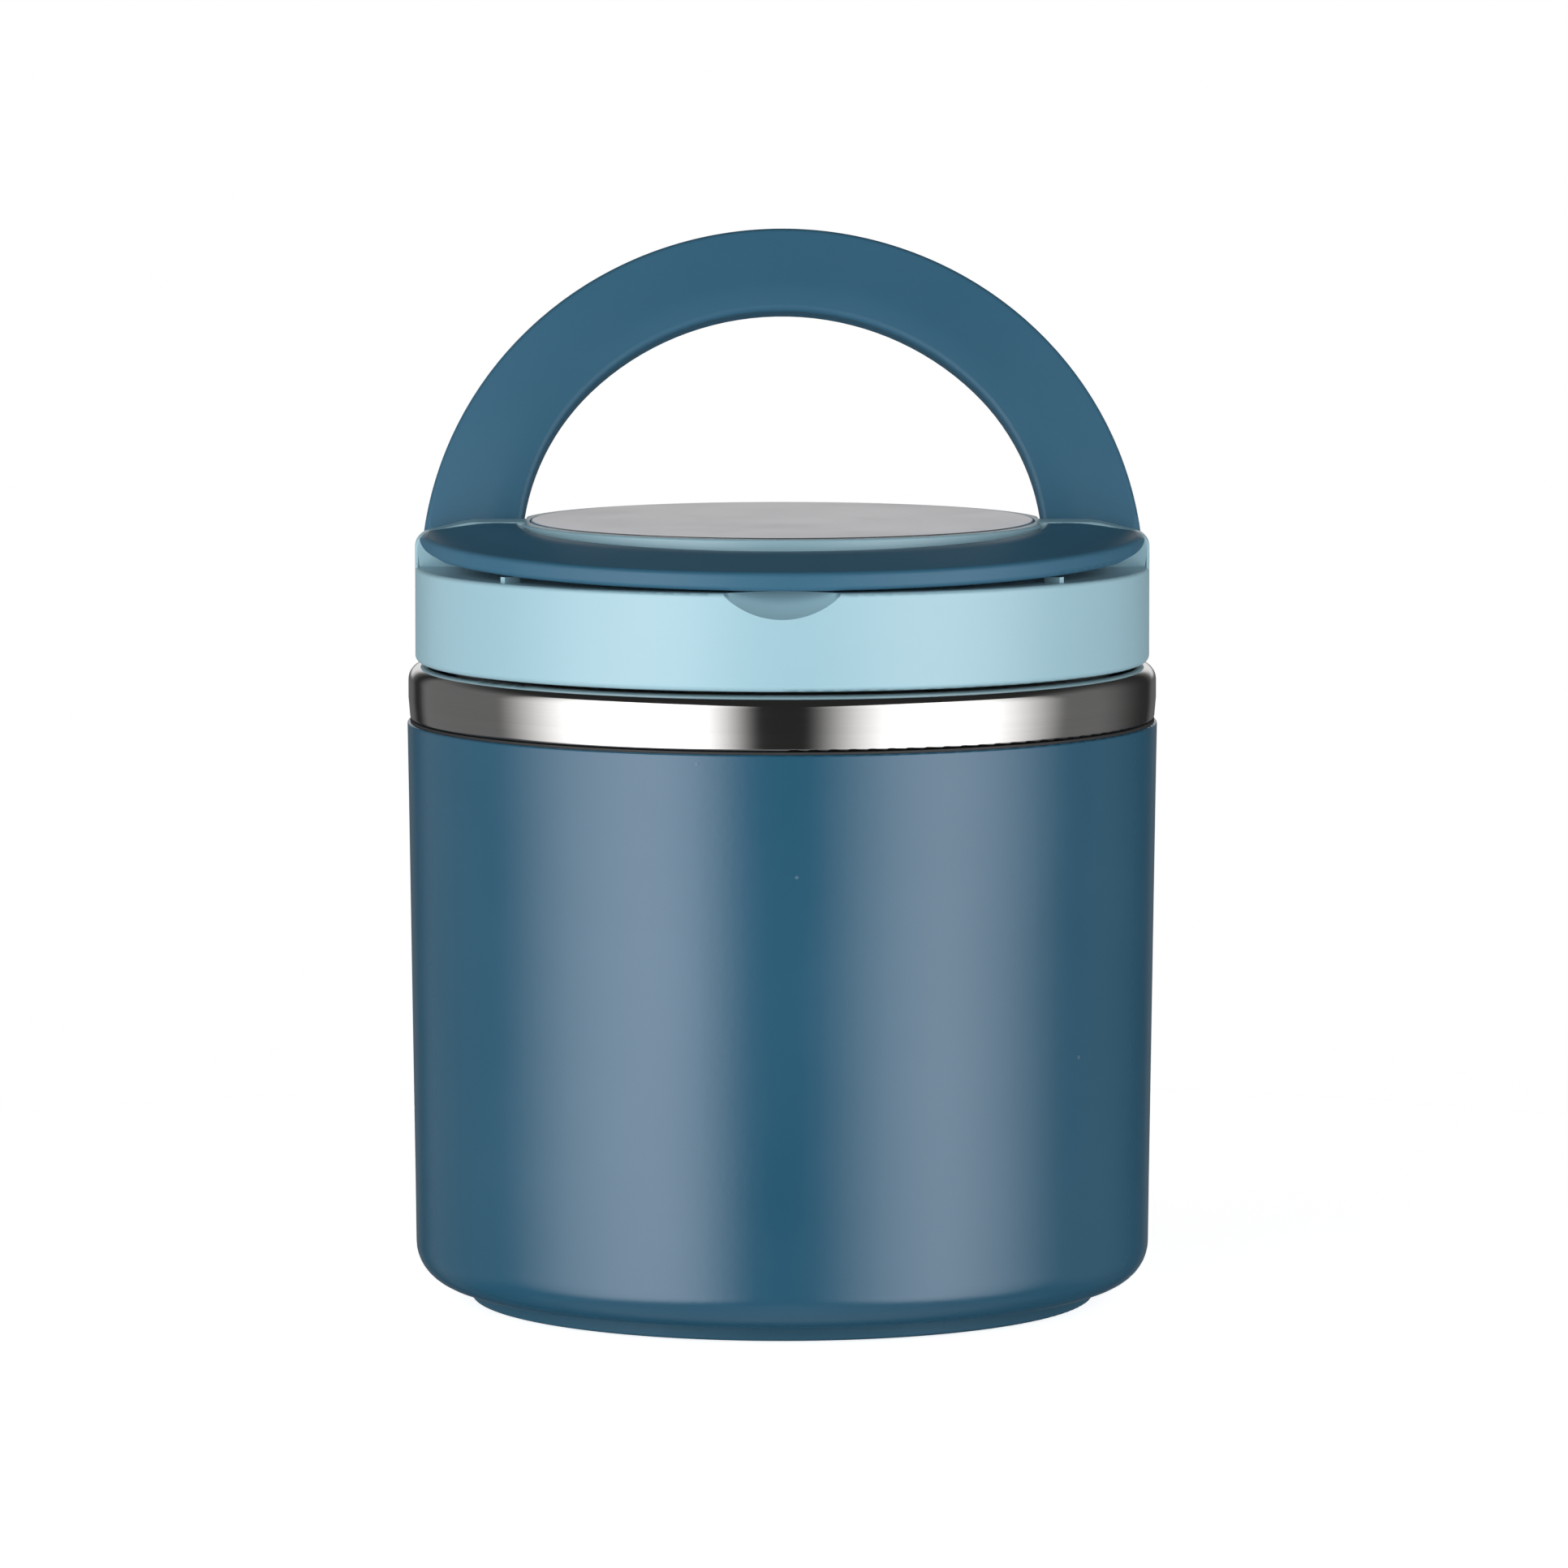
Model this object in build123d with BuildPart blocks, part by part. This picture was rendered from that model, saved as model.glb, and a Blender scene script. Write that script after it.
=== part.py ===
"""Insulated food jar with a screw lid that carries two folding half-ring handles.

The frame: the origin is on the table, under the middle of the foot. +Z goes up through the
lid, the front handle folds towards -Y and the back handle towards +Y. Lengths are millimetres.
"""

import os
from math import cos, radians, tan

from build123d import *

os.makedirs("parts", exist_ok=True)

# Gaps between pieces
seat_gap = 0.1  # round a piece that is seated in another
slip_gap = 0.3  # between pieces that move past each other
pin_gap = 0.05  # round a hinge pin in its running bore
pin_press_gap = 0.01  # round a hinge pin where it is pressed in

# Outer shell, the moulded sleeve round the lower part of the vessel
shell_top_radius = 69.0
shell_taper = 1.4  # how much narrower the shell is at its underside
shell_underside = 3.2
shell_top = 107.1
shell_wall = 2.0
shell_corner = 7.5
shell_lip_round = 0.5

# Base cover and what is fixed in it
base_margin = 2.6  # from the shell's corner round to the cover
base_overlap = 3.2  # of the cover's rim under the shell
base_stand_off = 0.3  # height of the cover's rim above the table
base_edge_round = 0.5
base_plate = 2.2
base_recess = 2.2
base_rim_width = 11.0
pad_inset = 2.4
pad_width = 6.2
pad_groove = 0.8
boss_radius = 9.0
boss_rise = 1.5
screw_radius = 2.0
screw_head_radius = 3.8
screw_head_height = 1.8
screw_socket = 2.5  # across the flats of its hexagon

# Steel vessel
sheet = 0.6
can_play = 0.6  # between the vessel and the shell's narrow end
can_corner = 3.0
can_flange = 7.0
cushion_width = 3.0
cushion_thickness = 1.6
dish_depth = 4.4
dish_inset = 10.0
dish_slope = 3.0
dish_bend = 1.0
band_foot_inset = 0.55  # of the band's lower edge, from the shell's top edge
band_inset = 0.2
band_gap = 0.4  # seal between the shell's top edge and the band
band_height = 10.0
band_swell = 4.1  # height of the band's widest line above its lower edge
step_bend = 0.2  # bends of the step that the band stands on
shoulder_round = 2.8
neck_step = 8.4  # how much narrower the neck is than the vessel
neck_height = 11.6
neck_rise = 0.3
neck_bend = 1.0
rim_round = 0.9
side_vacuum = 3.8
floor_vacuum = 3.2
shoulder_vacuum = 2.0
neck_vacuum = 0.8
cavity_corner = 8.0
liner_shoulder_rise = 1.5
liner_shoulder_round = 3.0
foil = 0.2
getter_radius = 5.0
getter_height = 1.8
port_radius = 1.2
port_seal_radius = 4.0
port_seal_height = 0.8
port_distance = 26.0
nut_flange_radius = 8.0
nut_flange = 1.0
nut_radius = 4.5
seal_skirt = 3.0

# Screw thread between the neck and the lid
thread_lead = 15.0
thread_starts = 3
thread_depth = 1.3
thread_root = 2.2
thread_crest = 1.2
neck_rib_rise = 3.9  # of its lower end above the steel shoulder
neck_rib_angle = 110
lid_rib_angle = 70
lid_rib_lag_angle = 25  # the lid's ribs start this many degrees past the neck's
thread_play = 0.4
rib_bite = 0.3

# Lid cap, with the plateau, the ledge round it and the ears between the handles
lid_inset = 1.3  # from the band
lid_lift = 0.6  # gap between the lid's lower edge and the steel shoulder
lid_wall = 2.2
lid_edge_round = 1.2
ledge_round = 0.8
ledge_width = 18.9
plateau_height = 8.2
plateau_edge_round = 0.5
rim_width = 2.1
flank_cut = 1.3  # depth of the plateau's flat flanks beside the hinges
ear_half_width = 4.3
ear_fillet = 1.5
ear_slope_start = 11.5  # from the lid's outside; the ears are level up to here
ear_slope_middle = 4.3
ear_slope_drop = 1.4
ear_shoulder_drop = 4.8
scoop_radius = 17.6
scoop_overhang = 6.5  # of the scoops' centres, outside the lid
scoop_depth = 4.6
scoop_wall = 1.5
rest_angle = 49.5
rest_width = 1.2
rest_length = 3.5
rest_inset = 0.7  # from the handle's outer face
disc_thickness = 0.7
disc_rise = 0.15  # above the top of the lid
disc_edge_round = 0.3
pad_thickness = 0.3
pad_margin = 1.2

# Inner lid and its seal
inner_lid_plate = 1.8
seal_room = 2.5  # between the vessel's rim and the inner lid's plate
skirt_wall = 1.8
skirt_lift = 0.7  # of the skirt's lower edge above the lid's
socket_wall = 1.4
socket_depth = 5.0
keeper_play = 1.8  # between the mouth and the seal's keeper
keeper_wall = 1.6
keeper_lip = 1.1
keeper_lip_height = 0.9

# Handles and hinge pins
hinge_drop = 3.2  # of the hinge axes below the top of the lid
handle_inner_play = 1.5  # round the plateau
handle_outer_inset = 0.8  # from the lid's outside
leg_tightening = 7.0  # the inner edge bends tighter by this much along each leg
leg_bend_angle = 45  # from the hinge line, where the tighter bend begins
leg_cut_back = 2.4  # along the hinge line, where the legs' inner corners clear the ears
handle_below = 2.1  # from the hinge axis to the underside
handle_above = 3.1  # from the hinge axis to the top near the inner edge
handle_crown = 0.25
handle_crown_width = 12.7  # from the highest line to the outer face
handle_crown_round = 18.0
handle_edge_above = 1.2  # from the hinge axis to the top of the outer face
handle_edge_round = 1.1
handle_end_margin = 0.1
handle_tip_length = 10.7  # over which the legs thin towards their tips
handle_tip_half = 4.1
handle_tip_above = 2.2
handle_tip_below = 1.5
handle_tip_inset = 0.2
handle_tip_flare_ratio = 1.6  # steepness of the tip's two sides where they meet
knuckle_radius = 2.6
knuckle_length = 7.4
pin_radius = 1.5
pin_in_handle = 6.8
pin_in_lid = 4.6
boss_wall = 1.8  # round the bores for the pins
front_droop_angle = 2.5
back_raise_angle = 70.5

# Radii that follow, from the shell inwards
shell_low_radius = shell_top_radius - shell_taper
base_radius = shell_low_radius - shell_corner - base_margin
shell_opening_radius = base_radius - base_overlap
band_radius = shell_top_radius - band_inset
can_radius = shell_low_radius - shell_wall - can_play
cavity_radius = can_radius - side_vacuum - 2 * sheet
neck_radius = can_radius - neck_step
mouth_radius = neck_radius - neck_vacuum - 2 * sheet
lid_radius = band_radius - lid_inset
plateau_radius = lid_radius - ledge_width
hinge_face = plateau_radius - flank_cut
handle_inner_radius = plateau_radius + handle_inner_play
handle_outer_radius = lid_radius - handle_outer_inset

# Heights that follow, from the table up
shell_floor = shell_underside + shell_wall
can_bottom = shell_floor + cushion_thickness
dish_low = can_bottom + sheet + dish_depth
cavity_floor = dish_low + floor_vacuum + 2 * sheet
band_bottom = shell_top + band_gap
shoulder_top = band_bottom + band_height
lid_bottom = shoulder_top + lid_lift
rim_height = shoulder_top + neck_height
plate_under = rim_height + seal_room
ledge_under = plate_under + inner_lid_plate
ledge_height = ledge_under + lid_wall
lid_top = ledge_height + plateau_height
hinge_height = lid_top - hinge_drop

place_tolerance = 0.01  # for finding edges and corners by their place


def half_section(*corners):
    """Face in the XZ plane, from (radius, height) or (radius, height, rounding) corners."""
    rounded = [corner if len(corner) == 3 else (*corner, 0) for corner in corners]
    with BuildSketch(Plane.XZ) as section:
        with BuildLine():
            FilletPolyline(
                [(radius, height) for radius, height, _ in rounded],
                radius=[rounding for _, _, rounding in rounded],
                close=True,
            )
        make_face()
    return section.sketch


def sheet_section(*path):
    """Section of bent sheet. path runs along one face, with the sheet on its left."""
    points = [Vector(radius, height) for radius, height, _ in path]
    ways = [(after - before).normalized() for before, after in zip(points, points[1:])]
    lefts = [Vector(-way.Y, way.X) for way in ways]
    far_side = [(*tuple(points[0] + lefts[0] * sheet)[:2], 0)]
    for index in range(1, len(points) - 1):
        before, after = lefts[index - 1], lefts[index]
        corner = points[index] + (before + after) * (sheet / (1 + before.dot(after)))
        turns_left = ways[index - 1].cross(ways[index]).Z > 0
        bend = path[index][2]
        if bend:
            bend += -sheet if turns_left else sheet
        far_side.append((corner.X, corner.Y, bend))
    far_side.append((*tuple(points[-1] + lefts[-1] * sheet)[:2], 0))
    return half_section(*path, *reversed(far_side))


def ring_section(inner, outer, low, high):
    """Rectangular half-section of a plain ring."""
    return half_section((inner, low), (outer, low), (outer, high), (inner, high))


def thread_rib(radius, outwards, angle):
    """One start of the thread, from the +X axis upwards, standing out from radius."""
    side = 1 if outwards else -1
    with BuildPart() as rib:
        with BuildLine() as helix:
            Helix(pitch=thread_lead, height=thread_lead * angle / 360, radius=radius)
        with BuildSketch(Plane(helix.line @ 0, x_dir=(1, 0, 0), z_dir=helix.line % 0)):
            with BuildLine():
                Polyline(
                    (-side * rib_bite, -thread_root / 2),
                    (side * thread_depth, -thread_crest / 2),
                    (side * thread_depth, thread_crest / 2),
                    (-side * rib_bite, thread_root / 2),
                    close=True,
                )
            make_face()
        sweep(path=helix.line, is_frenet=True)
    return rib.part


# ---------------------------------------------------------------- outer shell and base

with BuildPart() as outer_shell:
    revolve(
        half_section(
            (shell_opening_radius, shell_underside),
            (shell_low_radius, shell_underside, shell_corner),
            (shell_top_radius, shell_top, shell_lip_round),
            (shell_top_radius - shell_wall, shell_top),
            (shell_low_radius - shell_wall, shell_floor, shell_corner - shell_wall),
            (shell_opening_radius, shell_floor),
        ),
        Axis.Z,
    )

spigot_radius = shell_opening_radius - slip_gap
groove_top = base_stand_off + pad_groove
plate_low = base_stand_off + base_recess
plate_high = plate_low + base_plate
boss_top = plate_high + boss_rise
rim_inner_radius = base_radius - base_rim_width
pad_outer_radius = base_radius - pad_inset
pad_inner_radius = pad_outer_radius - pad_width
head_seat = plate_low + screw_head_height
cushion_outer_radius = shell_low_radius - shell_corner - seat_gap

with BuildPart() as base_cover:
    revolve(
        half_section(
            (screw_radius + seat_gap, boss_top),
            (boss_radius, boss_top),
            (boss_radius, plate_high),
            (spigot_radius, plate_high),
            (spigot_radius, shell_underside),
            (base_radius, shell_underside, base_edge_round / 2),
            (base_radius, base_stand_off, base_edge_round),
            (pad_outer_radius + seat_gap, base_stand_off),
            (pad_outer_radius + seat_gap, groove_top),
            (pad_inner_radius - seat_gap, groove_top),
            (pad_inner_radius - seat_gap, base_stand_off),
            (rim_inner_radius, base_stand_off),
            (rim_inner_radius - base_recess, plate_low),
            (screw_head_radius + slip_gap, plate_low),
            (screw_head_radius + slip_gap, head_seat),
            (screw_radius + seat_gap, head_seat),
        ),
        Axis.Z,
    )

with BuildPart() as foot_pad:
    revolve(ring_section(pad_inner_radius, pad_outer_radius, 0, groove_top), Axis.Z)

with BuildPart() as base_cushion:
    revolve(
        ring_section(
            cushion_outer_radius - cushion_width,
            cushion_outer_radius,
            shell_floor,
            shell_floor + cushion_thickness,
        ),
        Axis.Z,
    )

# ---------------------------------------------------------------- vacuum vessel

can_flange_radius = can_radius - can_flange
neck_foot = shoulder_top + neck_rise
neck_rib = thread_rib(neck_radius, True, neck_rib_angle)

with BuildPart() as outer_can:
    revolve(
        sheet_section(
            (can_flange_radius, can_bottom, 0),
            (can_radius, can_bottom, can_corner),
            (can_radius, band_bottom, step_bend),
            (shell_top_radius - band_foot_inset, band_bottom, sheet + step_bend),
            (band_radius, band_bottom + band_swell, 0),
            (band_radius, shoulder_top, shoulder_round),
            (neck_radius, neck_foot, neck_bend),
            (neck_radius, rim_height, rim_round),
            (mouth_radius, rim_height, 0),
        ),
        Axis.Z,
    )
    with Locations((0, 0, shoulder_top + neck_rib_rise)):
        with PolarLocations(0, thread_starts):
            add(neck_rib)

flange_seat = can_bottom + sheet
dish_radius = can_flange_radius - dish_inset

with BuildPart() as can_base:
    revolve(
        sheet_section(
            (0, dish_low, 0),
            (dish_radius, dish_low, dish_bend),
            (dish_radius + dish_slope, flange_seat, dish_bend),
            ((can_flange_radius + can_radius - can_corner) / 2, flange_seat, 0),
        ),
        Axis.Z,
    )
    with Locations((-port_distance, 0, dish_low)):
        Cylinder(port_radius, 4 * sheet, mode=Mode.SUBTRACT)

liner_radius = cavity_radius + sheet
liner_shoulder = shoulder_top - sheet - shoulder_vacuum

with BuildPart() as inner_liner:
    revolve(
        sheet_section(
            (0, cavity_floor - sheet, 0),
            (liner_radius, cavity_floor - sheet, cavity_corner + sheet),
            (liner_radius, liner_shoulder - liner_shoulder_rise, liner_shoulder_round),
            (mouth_radius + sheet, liner_shoulder, neck_bend),
            (mouth_radius + sheet, rim_height - sheet, 0),
        ),
        Axis.Z,
    )

with BuildPart() as heat_shield:
    revolve(
        ring_section(
            liner_radius + seat_gap,
            liner_radius + seat_gap + foil,
            cavity_floor + cavity_corner,
            liner_shoulder - liner_shoulder_rise - liner_shoulder_round,
        ),
        Axis.Z,
    )

with BuildPart() as getter:
    with Locations((port_distance, 0, dish_low + sheet)):
        Cylinder(getter_radius, getter_height, align=(Align.CENTER, Align.CENTER, Align.MIN))

with BuildPart() as vacuum_seal:
    with Locations((-port_distance, 0, dish_low)):
        Cylinder(
            port_seal_radius, port_seal_height, align=(Align.CENTER, Align.CENTER, Align.MAX)
        )

with BuildPart() as weld_nut:
    revolve(
        half_section(
            (screw_radius + pin_gap, boss_top + slip_gap),
            (nut_radius, boss_top + slip_gap),
            (nut_radius, dish_low - nut_flange),
            (nut_flange_radius, dish_low - nut_flange),
            (nut_flange_radius, dish_low),
            (screw_radius + pin_gap, dish_low),
        ),
        Axis.Z,
    )

with BuildPart() as base_screw:
    revolve(
        half_section(
            (0, head_seat - screw_head_height),
            (screw_head_radius, head_seat - screw_head_height, screw_head_height / 3),
            (screw_head_radius, head_seat),
            (screw_radius, head_seat),
            (screw_radius, dish_low - slip_gap),
            (0, dish_low - slip_gap),
        ),
        Axis.Z,
    )
    with BuildSketch(Plane.XY.offset(head_seat - screw_head_height)):
        RegularPolygon(screw_socket / 2, 6, major_radius=False)
    extrude(amount=screw_head_height / 2, mode=Mode.SUBTRACT)

with BuildPart() as shell_seal:
    revolve(
        half_section(
            (can_radius + seat_gap, band_bottom - sheet - seal_skirt),
            (shell_top_radius - shell_wall - seat_gap, band_bottom - sheet - seal_skirt),
            (shell_top_radius - shell_wall - seat_gap, shell_top),
            (shell_top_radius - shell_lip_round, shell_top),
            (shell_top_radius - shell_lip_round, band_bottom),
            (can_radius + seat_gap + sheet, band_bottom),
            (can_radius + seat_gap, band_bottom - sheet),
        ),
        Axis.Z,
    )

# ---------------------------------------------------------------- lid cap

recess_radius = plateau_radius - rim_width
disc_top = lid_top + disc_rise
recess_floor = disc_top - disc_thickness - pad_thickness
roof_under = recess_floor - lid_wall
hollow_radius = plateau_radius - lid_wall
thread_clear_radius = neck_radius + thread_depth + thread_play
skirt_radius = thread_clear_radius + skirt_wall
socket_radius = skirt_radius + slip_gap

# Plateau and ears in one: their plan, under a roof that is turned about the jar's axis
with BuildPart() as crown:
    with BuildSketch(Plane.XY.offset(ledge_under)) as crown_plan:
        Circle(plateau_radius)
        Rectangle(2 * hinge_face, 2 * plateau_radius, mode=Mode.INTERSECT)
        Rectangle(2 * (lid_radius + lid_wall), 2 * ear_half_width)
        fillet(
            crown_plan.vertices().filter_by(
                lambda corner: abs(abs(corner.X) - hinge_face) < place_tolerance
                and abs(abs(corner.Y) - ear_half_width) < place_tolerance
            ),
            ear_fillet,
        )
    extrude(amount=lid_top + lid_wall - ledge_under)
    with BuildSketch(Plane.XZ):
        with BuildLine():
            roof = Polyline(
                (lid_radius, lid_top - ear_shoulder_drop),
                (lid_radius, ledge_under),
                (0, ledge_under),
                (0, lid_top),
                (lid_radius - ear_slope_start, lid_top),
            )
            Spline(
                roof @ 1,
                (lid_radius - ear_slope_middle, lid_top - ear_slope_drop),
                roof @ 0,
                tangents=((1, 0), (0, -1)),
            )
        make_face()
    revolve(axis=Axis.Z, mode=Mode.INTERSECT)
    fillet(
        crown.edges().filter_by(
            lambda edge: edge.center().Z > ledge_height
            and not (edge.geom_type == GeomType.CIRCLE and abs(edge.center().Y) < place_tolerance)
        ),
        plateau_edge_round,
    )
    Cylinder(recess_radius, 2 * (lid_top + lid_wall), mode=Mode.SUBTRACT)

scoop_height = ledge_height - scoop_depth + (scoop_radius**2 - scoop_overhang**2) ** 0.5
scoop_centre_radius = lid_radius + scoop_overhang
scoop_places = ((0, -scoop_centre_radius, scoop_height), (0, scoop_centre_radius, scoop_height))

with BuildPart() as scoop_backs:
    with Locations(*scoop_places):
        Sphere(scoop_radius + scoop_wall)
    with Locations((0, 0, ledge_under + lid_wall / 2)):
        Cylinder(
            lid_radius - lid_wall / 2,
            ledge_under - lid_bottom,
            align=(Align.CENTER, Align.CENTER, Align.MAX),
            mode=Mode.INTERSECT,
        )

handle_end_round = handle_above + handle_end_margin
hinge_offset = ear_half_width + slip_gap + handle_end_round

# A folded handle's underside falls away from the hinge, and its rests are as high as it leaves
rest_outer_radius = handle_outer_radius - rest_inset
rest_inner_radius = rest_outer_radius - rest_length
rest_reach = rest_outer_radius * cos(radians(rest_angle)) - hinge_offset
rest_top = (
    hinge_height
    - handle_below / cos(radians(front_droop_angle))
    - rest_reach * tan(radians(front_droop_angle))
    - slip_gap
)
rest_sink = lid_wall / 2  # how deep a rest is rooted in the ledge

pin_inner_end = hinge_face - pin_in_lid
bore_depth = pin_in_lid + slip_gap
boss_inner = hinge_face - bore_depth - lid_wall / 2
boss_low = hinge_height - pin_radius - pin_gap - boss_wall
boss_half_width = hinge_offset + pin_radius + pin_gap + boss_wall

with BuildPart() as lid_cap:
    revolve(
        half_section(
            (lid_radius, lid_bottom, lid_edge_round),
            (lid_radius, ledge_height, ledge_round),
            ((recess_radius + hinge_face) / 2, ledge_height),
            ((recess_radius + hinge_face) / 2, recess_floor),
            (0, recess_floor),
            (0, roof_under),
            (hollow_radius, roof_under),
            (hollow_radius, ledge_under),
            (socket_radius, ledge_under),
            (socket_radius, ledge_under - socket_depth),
            (socket_radius + socket_wall, ledge_under - socket_depth),
            (socket_radius + socket_wall, ledge_under),
            (lid_radius - lid_wall, ledge_under),
            (lid_radius - lid_wall, lid_bottom),
        ),
        Axis.Z,
    )
    add(crown.part)
    add(scoop_backs.part)
    with Locations(*scoop_places):
        Sphere(scoop_radius, mode=Mode.SUBTRACT)
    for side in (1, -1):
        # Bosses inside the plateau that the hinge pins run in
        with BuildSketch(Plane.YZ.offset(side * boss_inner)):
            with Locations((0, (boss_low + recess_floor) / 2)):
                Rectangle(2 * boss_half_width, recess_floor - boss_low)
        extrude(amount=side * (recess_radius - boss_inner))
        with BuildSketch(Plane.YZ.offset(side * hinge_face)):
            with Locations((-hinge_offset, hinge_height), (hinge_offset, hinge_height)):
                Circle(pin_radius + pin_gap)
        extrude(amount=-side * bore_depth, mode=Mode.SUBTRACT)
        # Rests on the ledge under the handles
        for angle in (90 * side - rest_angle, 90 * side + rest_angle):
            with BuildSketch(Plane.XY.offset(ledge_height - rest_sink)):
                with PolarLocations(
                    (rest_inner_radius + rest_outer_radius) / 2, 1, start_angle=angle
                ):
                    Rectangle(rest_outer_radius - rest_inner_radius, rest_width)
            extrude(amount=rest_top - ledge_height + rest_sink)

with BuildPart() as lid_disc:
    revolve(
        half_section(
            (0, disc_top - disc_thickness),
            (recess_radius - slip_gap, disc_top - disc_thickness),
            (recess_radius - slip_gap, disc_top, disc_edge_round),
            (0, disc_top),
        ),
        Axis.Z,
    )

with BuildPart() as disc_pad:
    with BuildSketch(Plane.XY.offset(recess_floor)):
        Circle(recess_radius - pad_margin)
    extrude(amount=pad_thickness)

with BuildPart() as lid_foam:
    with BuildSketch(Plane.XY.offset(ledge_under)):
        Circle(hollow_radius - seat_gap)
    extrude(amount=roof_under - ledge_under)
    for side in (1, -1):
        with BuildSketch(Plane.XY.offset(boss_low - seat_gap)):
            with Locations((side * (boss_inner + hollow_radius) / 2, 0)):
                Rectangle(
                    hollow_radius - boss_inner + 2 * seat_gap,
                    2 * (boss_half_width + seat_gap),
                )
        extrude(amount=roof_under, mode=Mode.SUBTRACT)

# ---------------------------------------------------------------- inner lid and seal

keeper_radius = mouth_radius - keeper_play
keeper_lip_bottom = rim_height - keeper_lip_height
lid_rib = thread_rib(thread_clear_radius, False, lid_rib_angle)
lid_rib_start = shoulder_top + neck_rib_rise - thread_root + thread_lead * lid_rib_lag_angle / 360

with BuildPart() as inner_lid:
    revolve(
        half_section(
            (0, plate_under),
            (keeper_radius - keeper_wall, plate_under),
            (keeper_radius - keeper_wall, keeper_lip_bottom),
            (keeper_radius + keeper_lip, keeper_lip_bottom),
            (keeper_radius + keeper_lip, rim_height),
            (keeper_radius, rim_height),
            (keeper_radius, plate_under),
            (thread_clear_radius, plate_under),
            (thread_clear_radius, lid_bottom + skirt_lift),
            (skirt_radius, lid_bottom + skirt_lift),
            (skirt_radius, ledge_under),
            (0, ledge_under),
        ),
        Axis.Z,
    )
    with Locations(Location((0, 0, lid_rib_start), (0, 0, lid_rib_lag_angle))):
        with PolarLocations(0, thread_starts):
            add(lid_rib)

with BuildPart() as lid_seal:
    revolve(
        ring_section(
            keeper_radius + slip_gap,
            thread_clear_radius - slip_gap,
            rim_height + slip_gap,
            plate_under - slip_gap,
        ),
        Axis.Z,
    )

# ---------------------------------------------------------------- handles
# Both are one moulding. It is drawn level, folded to the front, with its ring round the jar's
# axis and the height 0 on its hinge axis, and then set into each handle's place.

leg_inner_radius = handle_inner_radius - leg_tightening
leg_inner_face = leg_inner_radius + leg_tightening * cos(radians(leg_bend_angle))
knuckle_inner = leg_inner_face + leg_cut_back - slip_gap
pin_outer_end = leg_inner_face + pin_in_handle
tip_start = handle_outer_radius - handle_tip_length
tip_middle = handle_outer_radius - handle_tip_half

with BuildPart() as handle:
    revolve(
        half_section(
            (hinge_face - handle_edge_round, -handle_below),
            (handle_outer_radius, -handle_below, handle_edge_round),
            (handle_outer_radius, handle_edge_above, handle_edge_round),
            (
                handle_outer_radius - handle_crown_width,
                handle_above + handle_crown,
                handle_crown_round,
            ),
            (hinge_face - handle_edge_round, handle_above),
        ),
        Axis((0, 0, 0), (0, 0, -1)),
        revolution_arc=180,
    )
    # Its inner edge, from the middle round to the legs
    with BuildSketch():
        with BuildLine():
            middle = CenterArc((0, 0), handle_inner_radius, -90, 90 - leg_bend_angle)
            leg = JernArc(middle @ 1, middle % 1, leg_inner_radius, leg_bend_angle)
            Polyline(leg @ 1, (leg_inner_face, 0), (0, 0), middle @ 0)
        make_face()
        mirror(about=Plane.YZ)
    extrude(amount=handle_outer_radius, both=True, mode=Mode.SUBTRACT)
    fillet(
        handle.edges().filter_by(
            lambda edge: abs(edge.center().Z) > handle_below - place_tolerance
            and edge.center().Y < -slip_gap
            and Vector(edge.center().X, edge.center().Y).length
            < handle_inner_radius + handle_edge_round
        ),
        handle_edge_round,
    )
    # Each leg ends in a round about the hinge axis
    with BuildSketch(Plane.YZ):
        with Locations((-hinge_offset, 0)):
            Circle(handle_end_round)
            Rectangle(
                handle_outer_radius,
                4 * handle_end_round,
                align=(Align.MAX, Align.CENTER),
            )
    extrude(amount=handle_outer_radius, both=True, mode=Mode.INTERSECT)
    # Seen from the front, each leg thins to a soft tip
    with BuildSketch(Plane.XZ):
        with BuildLine():
            tip_top = Spline(
                (tip_start, handle_end_round + slip_gap),
                (tip_middle, handle_tip_above),
                (handle_outer_radius - handle_tip_inset, 0),
                tangents=((1, 0), (1, -handle_tip_flare_ratio)),
            )
            tip_under = Spline(
                tip_top @ 1,
                (tip_middle, -handle_tip_below),
                (tip_start, -handle_end_round),
                tangents=((-1, -handle_tip_flare_ratio), (-1, 0)),
            )
            Polyline(
                tip_under @ 1,
                (0, -handle_end_round),
                (0, handle_end_round + slip_gap),
                tip_top @ 0,
            )
        make_face()
        mirror(about=Plane.YZ)
    extrude(amount=handle_outer_radius, both=True, mode=Mode.INTERSECT)
    # Their inner corners are cut back, clear of the fillets between the ears and the plateau
    with BuildSketch():
        with BuildLine():
            Polyline(
                (hinge_face, -hinge_offset),
                (leg_inner_face, -hinge_offset),
                (leg_inner_face + leg_cut_back, handle_end_round - hinge_offset),
                (hinge_face, handle_end_round - hinge_offset),
                close=True,
            )
        make_face()
        mirror(about=Plane.YZ)
    extrude(amount=handle_outer_radius, both=True, mode=Mode.SUBTRACT)
    for side in (1, -1):
        with BuildSketch(Plane.YZ.offset(side * knuckle_inner)):
            with Locations((-hinge_offset, 0)):
                Circle(knuckle_radius)
        extrude(amount=side * knuckle_length)
        with BuildSketch(Plane.YZ.offset(side * hinge_face)):
            with Locations((-hinge_offset, 0)):
                Circle(pin_radius + pin_press_gap)
        extrude(amount=side * (pin_outer_end + seat_gap - hinge_face), mode=Mode.SUBTRACT)

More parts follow.
